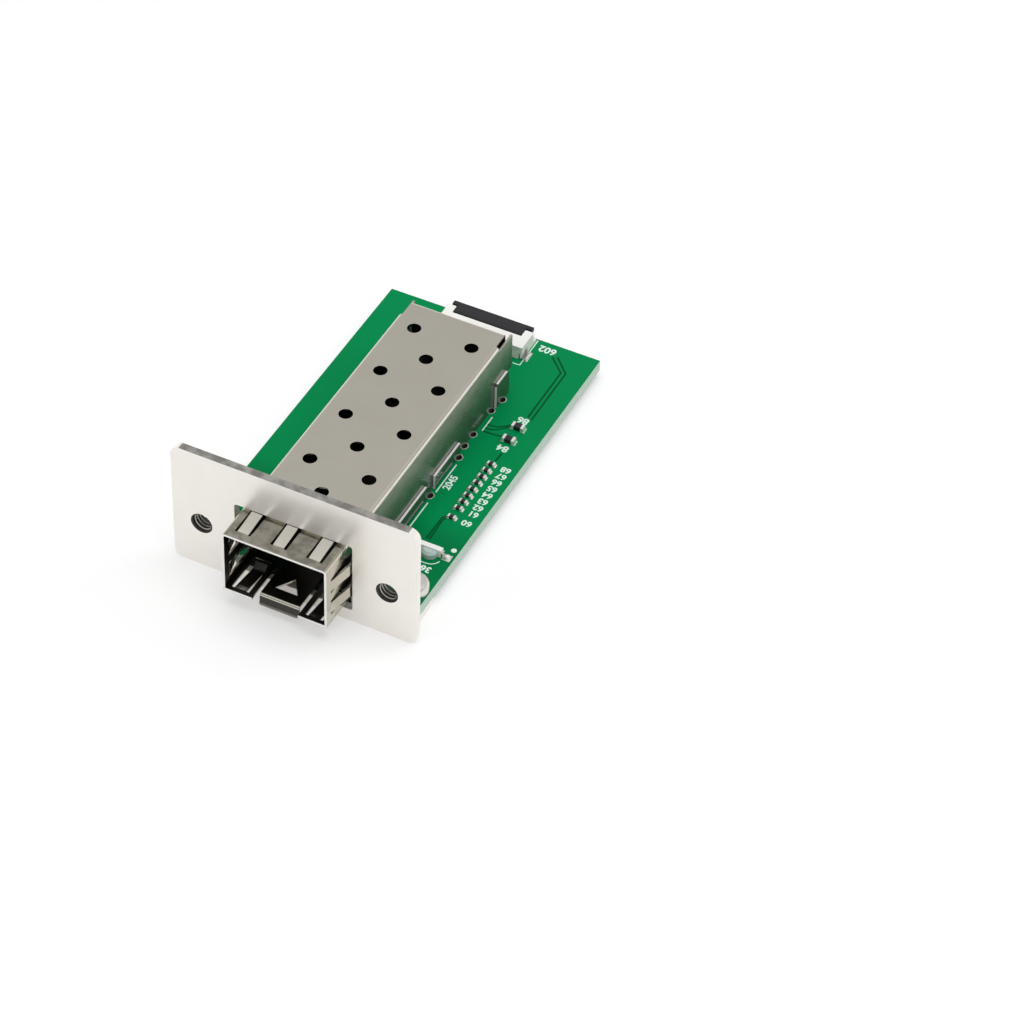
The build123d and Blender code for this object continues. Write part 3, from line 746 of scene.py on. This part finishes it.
def settle(piece, name, finish, angle=35):
    """Clean a piece's mesh, smooth it up to the angle, give it its finish, fix it to the card."""
    apply_place(piece)
    bpy.ops.object.mode_set(mode="EDIT")
    bpy.ops.mesh.select_all(action="SELECT")
    bpy.ops.mesh.remove_doubles(threshold=WELD * MM)
    bpy.ops.mesh.normals_make_consistent(inside=False)
    bpy.ops.object.mode_set(mode="OBJECT")
    bpy.ops.object.shade_smooth_by_angle(angle=math.radians(angle))
    piece.name = name
    piece.data.name = name
    piece.data.materials.clear()
    piece.data.materials.append(finish)
    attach(piece, CARD)
    return piece


def copies(piece, places):
    """The piece at each place, an x and y in millimetres with a turn in degrees, as one object."""
    made = []
    for x, y, turn in places:
        make_active(piece)
        bpy.ops.object.duplicate()
        copy = bpy.context.active_object
        copy.location = (x * MM, y * MM, 0)
        copy.rotation_euler = (0, 0, math.radians(turn))
        made.append(copy)
    make_active(piece)
    bpy.ops.object.delete()
    return join(made)


def both_ends(low, high, inset=0.0):
    """Places for copies at the two ends of a box along x, turned outwards."""
    middle = (low.y + high.y) / 2
    return [(high.x - inset, middle, 0), (low.x + inset, middle, 180)]


def cylinder(radius, low, height, vertices, x=0.0, y=0.0):
    """An upright cylinder that stands at a level."""
    clear_selection()
    bpy.ops.mesh.primitive_cylinder_add(
        vertices=vertices,
        radius=radius * MM,
        depth=height * MM,
        location=(x * MM, y * MM, (low + height / 2) * MM),
    )
    piece = bpy.context.active_object
    apply_place(piece)
    return piece


def block(length, width, height, x=0.0):
    """A block on the board, its middle at x."""
    clear_selection()
    level = BOARD_TOP + height / 2
    bpy.ops.mesh.primitive_cube_add(size=MM, location=(x * MM, 0, level * MM))
    piece = bpy.context.active_object
    piece.scale = (length, width, height)
    apply_place(piece)
    return piece


def pad(length, width):
    """A tinned pad on the board at the origin, with rounded edges."""
    piece = block(length, width, PAD_THICKNESS)
    pick(piece, everywhere)
    bpy.ops.mesh.bevel(offset=PAD_EDGE * MM, segments=2)
    bpy.ops.object.mode_set(mode="OBJECT")
    return piece


def solder_ramp(length, width, height):
    """Solder that falls from a terminal at the origin along +x to the board."""
    piece = block(length, width, height, x=length / 2)
    steps = len(RAMP_PROFILE) - 1
    pick(piece, everywhere)
    bpy.ops.mesh.subdivide(number_cuts=steps - 1)
    for step, share in enumerate(RAMP_PROFILE):
        reach = length * step / steps
        pick(piece, lambda place: abs(place.x - reach) < MARGIN)
        bpy.ops.transform.resize(
            value=(1, 1 - RAMP_NARROWING * step, share), center_override=(0, 0, BOARD_TOP * MM)
        )
    bpy.ops.object.mode_set(mode="OBJECT")
    return piece


def solder_mound(length, width, height):
    """A rounded heap of solder on the board at the origin."""
    clear_selection()
    bpy.ops.mesh.primitive_uv_sphere_add(
        segments=16, ring_count=10, radius=MM / 2, location=(0, 0, BOARD_TOP * MM)
    )
    piece = bpy.context.active_object
    piece.scale = (length, width, 2 * height)
    apply_place(piece)
    pick(piece, everywhere)
    bpy.ops.mesh.bisect(
        plane_co=(0, 0, BOARD_TOP * MM),
        plane_no=(0, 0, 1),
        use_fill=True,
        clear_inner=True,
        threshold=CUT_PRECISION * MM,
    )
    bpy.ops.object.mode_set(mode="OBJECT")
    return piece


def ribbon(points, width, height, smooth=False):
    """A flat line on the board, crowned, through points in millimetres."""
    clear_selection()
    curve = bpy.data.curves.new("line", "CURVE")
    curve.dimensions = "3D"
    curve.bevel_depth = width * MM / 2
    curve.bevel_resolution = 1
    curve.use_fill_caps = True
    spline = curve.splines.new("NURBS" if smooth else "POLY")
    spline.points.add(len(points) - 1)
    for point, (x, y) in zip(spline.points, points):
        point.co = (x * MM, y * MM, 0, 1)
    if smooth:
        spline.use_endpoint_u = True
        spline.order_u = 3
    line = bpy.data.objects.new("line", curve)
    bpy.context.scene.collection.objects.link(line)
    make_active(line)
    bpy.ops.object.convert(target="MESH")
    line = bpy.context.active_object
    line.scale = (1, 1, 2 * height / width)
    line.location = (0, 0, BOARD_TOP * MM)
    apply_place(line)
    return line


def number(text, x, y, size, turn):
    """Plain figures printed on the board, centred, with the turn in degrees."""
    clear_selection()
    bpy.ops.object.text_add(location=(0, 0, 0))
    label = bpy.context.active_object
    label.data.body = text
    label.data.size = size * MM
    label.data.align_x = "CENTER"
    label.data.align_y = "CENTER"
    label.data.extrude = PRINT_THICKNESS * MM / 2
    label.data.offset = NUMBER_WEIGHT * size * MM
    label.data.resolution_u = 3
    bpy.ops.object.convert(target="MESH")
    label = bpy.context.active_object
    label.rotation_euler = (0, 0, math.radians(turn))
    label.location = (x * MM, y * MM, BOARD_TOP * MM)
    apply_place(label)
    return label


# Print and etched lines on the board


def printed_lines():
    """Lines beside the cage and round the flat-cable connector, and the arc round the lamp."""
    lines = [ribbon(LAMP_ARC, LAMP_ARC_LINE, PRINT_THICKNESS, smooth=True)]
    for side in (-1, 1):
        for start, end in CAGE_LINES:
            x = side * CAGE_LINE_X
            lines.append(ribbon(((x, start), (x, end)), PRINT_LINE, PRINT_THICKNESS))
        x = side * CABLE_LINE_X
        inner = x - side * CABLE_LINE_RUN
        corner = ((inner, CABLE_LINE_FRONT), (x, CABLE_LINE_FRONT), (x, CABLE_LINE_REAR))
        lines.append(ribbon(corner, PRINT_LINE, PRINT_THICKNESS))
    settle(join(lines), "printed_lines", PRINT)


def printed_numbers():
    """The single numbers and one beside each chip of the row."""
    labels = [number(*label) for label in NUMBERS]
    for index in range(ROW_CHIPS):
        low, high = corners(f"chip_resistor_{index + 1}")
        y = (low.y + high.y) / 2
        text = str(ROW_NUMBER_FIRST + index)
        labels.append(number(text, ROW_NUMBER_X, y, ROW_NUMBER_SIZE, ROW_NUMBER_TURN))
    settle(join(labels), "printed_numbers", PRINT)


def printed_dot():
    """The dot beside the lamp."""
    x, y = DOT_PLACE
    dot = cylinder(DOT_RADIUS, BOARD_TOP, PRINT_THICKNESS, vertices=32, x=x, y=y)
    pick(dot, everywhere)
    bpy.ops.mesh.bevel(offset=PRINT_EDGE * MM, segments=2)
    settle(dot, "printed_dot", PRINT)


def etched_lines():
    """Gaps beside the copper lines; those with many points are curved."""
    lines = []
    for points in ETCHED_LINES:
        lines.append(ribbon(points, ETCH_WIDTH, ETCH_HEIGHT, smooth=len(points) > 3))
    settle(join(lines), "etched_lines", etched_mask())


# Pads and solder


def pin_places():
    """Where the sheets' pins pass through the board: the middle of each tip, in millimetres."""
    places = []
    for node in ("cage_base", "cage_cover"):
        points = [vertex.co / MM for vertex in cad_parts[node].data.vertices]
        lowest = min(point.z for point in points)
        tips = {}
        for point in points:
            if point.z < lowest + PIN_TIP:
                tips.setdefault((point.x > 0, round(point.y)), []).append(point)
        places += [sum(tip, Vector()) / len(tip) for tip in tips.values()]
    return places


def ring(level, up):
    """A tinned ring round a pin hole at the origin."""
    clear_selection()
    bpy.ops.mesh.primitive_circle_add(
        vertices=40, radius=RING_INNER * MM, location=(0, 0, level * MM)
    )
    piece = bpy.context.active_object
    apply_place(piece)
    pick(piece, everywhere)
    bpy.ops.mesh.extrude_edges_move()
    share = RING_OUTER / RING_INNER
    bpy.ops.transform.resize(value=(share, share, 1))
    bpy.ops.mesh.select_all(action="SELECT")
    rise = {"value": (0, 0, up * PAD_THICKNESS * MM)}
    bpy.ops.mesh.extrude_region_move(TRANSFORM_OT_translate=rise)
    bpy.ops.object.mode_set(mode="OBJECT")
    return piece


def pin_solder():
    """A hollow-sided cone of solder under the board at the origin."""
    low = BOARD_BOTTOM - PIN_SOLDER_HEIGHT
    waist = BOARD_BOTTOM - PIN_SOLDER_HEIGHT * PIN_SOLDER_WAIST_DEPTH
    piece = cylinder(PIN_SOLDER_RADIUS, low, PIN_SOLDER_HEIGHT, vertices=24)
    pick(piece, lambda place: place.z < low + MARGIN)
    bpy.ops.transform.resize(value=(PIN_SOLDER_TIP, PIN_SOLDER_TIP, 1))
    pick(piece, everywhere)
    bpy.ops.mesh.bisect(plane_co=(0, 0, waist * MM), plane_no=(0, 0, 1))
    bpy.ops.transform.resize(value=(PIN_SOLDER_WAIST, PIN_SOLDER_WAIST, 1))
    pick(piece, lambda place: place.z < low + MARGIN)
    bpy.ops.mesh.bevel(offset=PIN_SOLDER_ROUND * MM, segments=3)
    bpy.ops.object.mode_set(mode="OBJECT")
    return piece


def pin_pads():
    """Rings on both faces of the board and solder below, at every pin."""
    places = [(place.x, place.y, 0) for place in pin_places()]
    rings = join([copies(ring(BOARD_TOP, 1), places), copies(ring(BOARD_BOTTOM, -1), places)])
    settle(rings, "pin_rings", SOLDER)
    settle(copies(pin_solder(), places), "pin_solder", SOLDER)


def chip_ends(kind):
    """Places of the ends of the chips of a kind, turned outwards, and the size of one chip."""
    places = []
    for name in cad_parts:
        if name.startswith(f"chip_{kind}"):
            low, high = corners(name)
            places += both_ends(low, high)
            size = high - low
    return places, size


def chip_pads():
    """Pads and solder of all chips."""
    pads = []
    ramps = []
    for kind in ("resistor", "capacitor"):
        places, size = chip_ends(kind)
        reach = RAMP_LENGTH + PAD_MARGIN
        pads.append(copies(pad(2 * reach, size.y + 2 * PAD_MARGIN), places))
        ramps.append(copies(solder_ramp(RAMP_LENGTH, size.y, RAMP_RISE * size.z), places))
    settle(join(pads), "chip_pads", TIN)
    settle(join(ramps), "chip_solder", SOLDER, angle=50)


def cable_pads():
    """Pads and solder of the flat-cable connector's tails and tabs."""
    tail_y = corners("cable_connector_contacts")[0].y
    middle = (CONTACTS - 1) / 2
    tails = [((index - middle) * CONTACT_PITCH, tail_y, 0) for index in range(CONTACTS)]
    tail_pad = pad(CONTACT_WIDTH + 2 * PAD_MARGIN, TAIL_PAD_LENGTH)
    tail_solder = solder_mound(
        CONTACT_WIDTH + TAIL_SOLDER_EXTRA, TAIL_SOLDER_LENGTH, TAIL_SOLDER_HEIGHT
    )
    low, high = corners("cable_connector_tabs")
    tabs = both_ends(low, high, TAB_INSET)
    tab_pad = pad(TAB_PAD_WIDTH, high.y - low.y + TAB_PAD_EXTRA)
    tab_solder = solder_mound(TAB_SOLDER_WIDTH, high.y - low.y, TAB_SOLDER_HEIGHT)
    pads = join([copies(tail_pad, tails), copies(tab_pad, tabs)])
    settle(pads, "cable_pads", TIN)
    solder = join([copies(tail_solder, tails), copies(tab_solder, tabs)])
    settle(solder, "cable_solder", SOLDER, angle=50)


def lamp_pads():
    """Pads and solder of the lamp's terminals."""
    low, high = corners("led_terminals")
    depth = high.y - low.y
    ends = both_ends(low, high, LAMP_INSET)
    pads = copies(pad(LAMP_PAD_WIDTH, depth + LAMP_PAD_EXTRA), ends)
    settle(pads, "lamp_pads", TIN)
    solder = solder_mound(LAMP_SOLDER_WIDTH, depth + LAMP_SOLDER_EXTRA, LAMP_SOLDER_HEIGHT)
    settle(copies(solder, ends), "lamp_solder", SOLDER, angle=50)


# Fasteners


def panel_threads():
    """The ridge of the thread in each tapped panel hole."""
    ridges = []
    for side in (-1, 1):
        clear_selection()
        bpy.ops.mesh.primitive_circle_add(
            vertices=3, radius=THREAD_RADIUS * MM, fill_type="NOTHING"
        )
        ridge = bpy.context.active_object
        ridge.rotation_euler = (0, 0, math.radians(90))
        ridge.location = ((PANEL_HOLE_RADIUS + THREAD_SEAT) * MM, THREAD_START * MM, 0)
        apply_place(ridge)
        turn = ridge.modifiers.new("thread", "SCREW")
        turn.axis = "Y"
        turn.angle = 2 * math.pi
        turn.screw_offset = THREAD_PITCH * MM
        turn.iterations = THREAD_TURNS
        turn.steps = THREAD_STEPS
        turn.render_steps = THREAD_STEPS
        bpy.ops.object.modifier_apply(modifier=turn.name)
        bpy.ops.object.mode_set(mode="EDIT")
        bpy.ops.mesh.select_all(action="SELECT")
        bpy.ops.mesh.fill_holes(sides=3)
        ridge.location = (side * PANEL_HOLE_SPACING / 2 * MM, 0, 0)
        apply_place(ridge)
        ridges.append(ridge)
    settle(join(ridges), "panel_threads", SHADED_THREAD, angle=40)


def drive_cutters():
    """The two wings of a tapered cross that cut the drive of a screw head at the origin."""
    wings = []
    for turn in (0, 90):
        clear_selection()
        bpy.ops.mesh.primitive_cube_add(size=MM)
        wing = bpy.context.active_object
        wing.scale = (DRIVE_SPAN, DRIVE_WIDTH, 2 * DRIVE_DEPTH)
        wing.rotation_euler = (0, 0, math.radians(turn))
        wing.location = (0, 0, SCREW_HEAD_TOP * MM)
        apply_place(wing)
        pick(wing, lambda place: place.z < SCREW_HEAD_TOP)
        bpy.ops.transform.resize(value=(DRIVE_TAPER, DRIVE_TAPER, 1))
        bpy.ops.object.mode_set(mode="OBJECT")
        wings.append(wing)
    return wings


def screw():
    """A pan-head screw through the board at the origin."""
    head = cylinder(SCREW_HEAD_RADIUS, BOARD_TOP, SCREW_HEAD_HEIGHT, vertices=56)
    pick(head, lambda place: place.z > BOARD_TOP + MARGIN)
    bpy.ops.mesh.bevel(offset=SCREW_HEAD_ROUND * MM, segments=6)
    for wing in drive_cutters():
        cut = head.modifiers.new("drive", "BOOLEAN")
        cut.object = wing
        cut.operation = "DIFFERENCE"
        make_active(head)
        bpy.ops.object.modifier_apply(modifier=cut.name)
        make_active(wing)
        bpy.ops.object.delete()
    shank = cylinder(SCREW_RADIUS, SCREW_END, SCREW_LENGTH, vertices=40)
    pick(shank, lambda place: place.z < SCREW_END + MARGIN)
    bpy.ops.mesh.bevel(offset=SCREW_TIP * MM, segments=2)
    return join([head, shank])


def board_screws():
    """The two board screws, which stand for the plainer ones of the frame."""
    places = [(-SCREW_X, SCREW_Y, DRIVE_TURNS[0]), (SCREW_X, SCREW_Y, DRIVE_TURNS[1])]
    screws = settle(copies(screw(), places), "pan_screws", SCREW, angle=40)
    even = screws.modifiers.new("even", "WEIGHTED_NORMAL")
    even.keep_sharp = True
    bpy.ops.object.modifier_apply(modifier=even.name)
    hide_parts("board_screws")


dress_cad_nodes()
printed_lines()
printed_numbers()
printed_dot()
etched_lines()
pin_pads()
chip_pads()
cable_pads()
lamp_pads()
panel_threads()
board_screws()


# Floor, light and camera


def seen_rays(nodes):
    """1 for what the camera, a reflection or a clear piece sees, else 0."""
    camera = nodes.add("ShaderNodeLightPath", {}, {}, "Is Camera Ray")
    glossy = nodes.add("ShaderNodeLightPath", {}, {}, "Is Glossy Ray")
    clear = nodes.add("ShaderNodeLightPath", {}, {}, "Is Transmission Ray")
    return camera + glossy + clear


def floor():
    """White ground that takes the shadow near the card and fades into the backdrop."""
    clear_selection()
    bpy.ops.mesh.primitive_plane_add(size=FLOOR_SIZE, location=(0, 0, cad_low.z))
    ground = bpy.context.active_object
    ground.name = "floor"
    material = bpy.data.materials.new("floor")
    material.use_nodes = True
    nodes = Nodes(material.node_tree)
    white = nodes.add("ShaderNodeBsdfDiffuse", {}, {"Color": grey(FLOOR_WHITE)})
    lift = nodes.add("ShaderNodeEmission", {}, {"Strength": FLOOR_LIFT * seen_rays(nodes)})
    near = nodes.add("ShaderNodeAddShader", {}, {0: white, 1: lift})
    far = nodes.add("ShaderNodeEmission", {}, {"Strength": seen_rays(nodes)})
    place = nodes.add("ShaderNodeTexCoord", {}, {}, "Object")
    distance = nodes.add("ShaderNodeVectorMath", {"operation": "LENGTH"}, {0: place}, "Value")
    fade = nodes.rise(distance, FLOOR_NEAR, FLOOR_FAR)
    surface = nodes.add("ShaderNodeMixShader", {}, {0: fade, 1: near, 2: far})
    nodes.feed(nodes.tree.nodes["Material Output"].inputs["Surface"], surface)
    ground.data.materials.append(material)


def sky_band(nodes, height, band):
    """Greys that change with the height in the studio."""
    stops = [(place, grey(level)) for place, level in band]
    return nodes.add("ShaderNodeValToRGB", {"stops": stops}, {"Fac": height})


def studio_world():
    """White studio with a grey band overhead, darker to the front, that the metal mirrors."""
    world = bpy.data.worlds.new("studio")
    bpy.context.scene.world = world
    world.use_nodes = True
    nodes = Nodes(world.node_tree)
    direction = nodes.add("ShaderNodeTexCoord", {}, {}, "Generated")
    depth = nodes.part(direction, "Y")
    height = nodes.part(direction, "Z")
    rear = sky_band(nodes, height, REAR_BAND)
    front = sky_band(nodes, height, FRONT_BAND)
    backdrop = nodes.mix(front, rear, nodes.rise(depth, -BAND_BLEND, BAND_BLEND))
    shown = nodes.mix(grey(STUDIO_LIGHT), backdrop, seen_rays(nodes))
    nodes.feed(nodes.tree.nodes["Background"].inputs["Color"], shown)


def softbox(name, place, size, power):
    """A square lamp aimed at the card that the metal doesn't mirror."""
    light = bpy.data.lights.new(name, "AREA")
    light.shape = "SQUARE"
    light.size = size
    light.energy = power
    lamp = bpy.data.objects.new(name, light)
    bpy.context.scene.collection.objects.link(lamp)
    lamp.location = place
    lamp.rotation_euler = (Vector(place) - SOFTBOX_AIM).to_track_quat("Z", "Y").to_euler()
    lamp.visible_glossy = False


def photograph_camera():
    """The camera as it stood for the photograph."""
    azimuth = math.radians(CAMERA_AZIMUTH)
    elevation = math.radians(CAMERA_ELEVATION)
    roll = math.radians(CAMERA_ROLL)
    level = math.cos(elevation)
    back = Vector((math.sin(azimuth) * level, -math.cos(azimuth) * level, math.sin(elevation)))
    flat_right = Vector((math.cos(azimuth), math.sin(azimuth), 0))
    flat_up = back.cross(flat_right)
    right = math.cos(roll) * flat_right + math.sin(roll) * flat_up
    up = back.cross(right)
    camera = bpy.data.objects.new("camera", bpy.data.cameras.new("camera"))
    bpy.context.scene.collection.objects.link(camera)
    camera.data.lens = CAMERA_LENS
    camera.data.sensor_width = CAMERA_SENSOR
    camera.data.clip_start = CAMERA_CLIP * MM
    place = CAMERA_AIM + CAMERA_AIM_RIGHT * right + CAMERA_AIM_UP * up + CAMERA_DISTANCE * back
    axes = Matrix((right, up, back)).transposed().to_4x4()
    camera.matrix_world = Matrix.Translation(place * MM) @ axes
    bpy.context.scene.camera = camera


floor()
studio_world()
for box in SOFTBOXES:
    softbox(*box)
photograph_camera()
bpy.context.scene.view_settings.view_transform = "Standard"
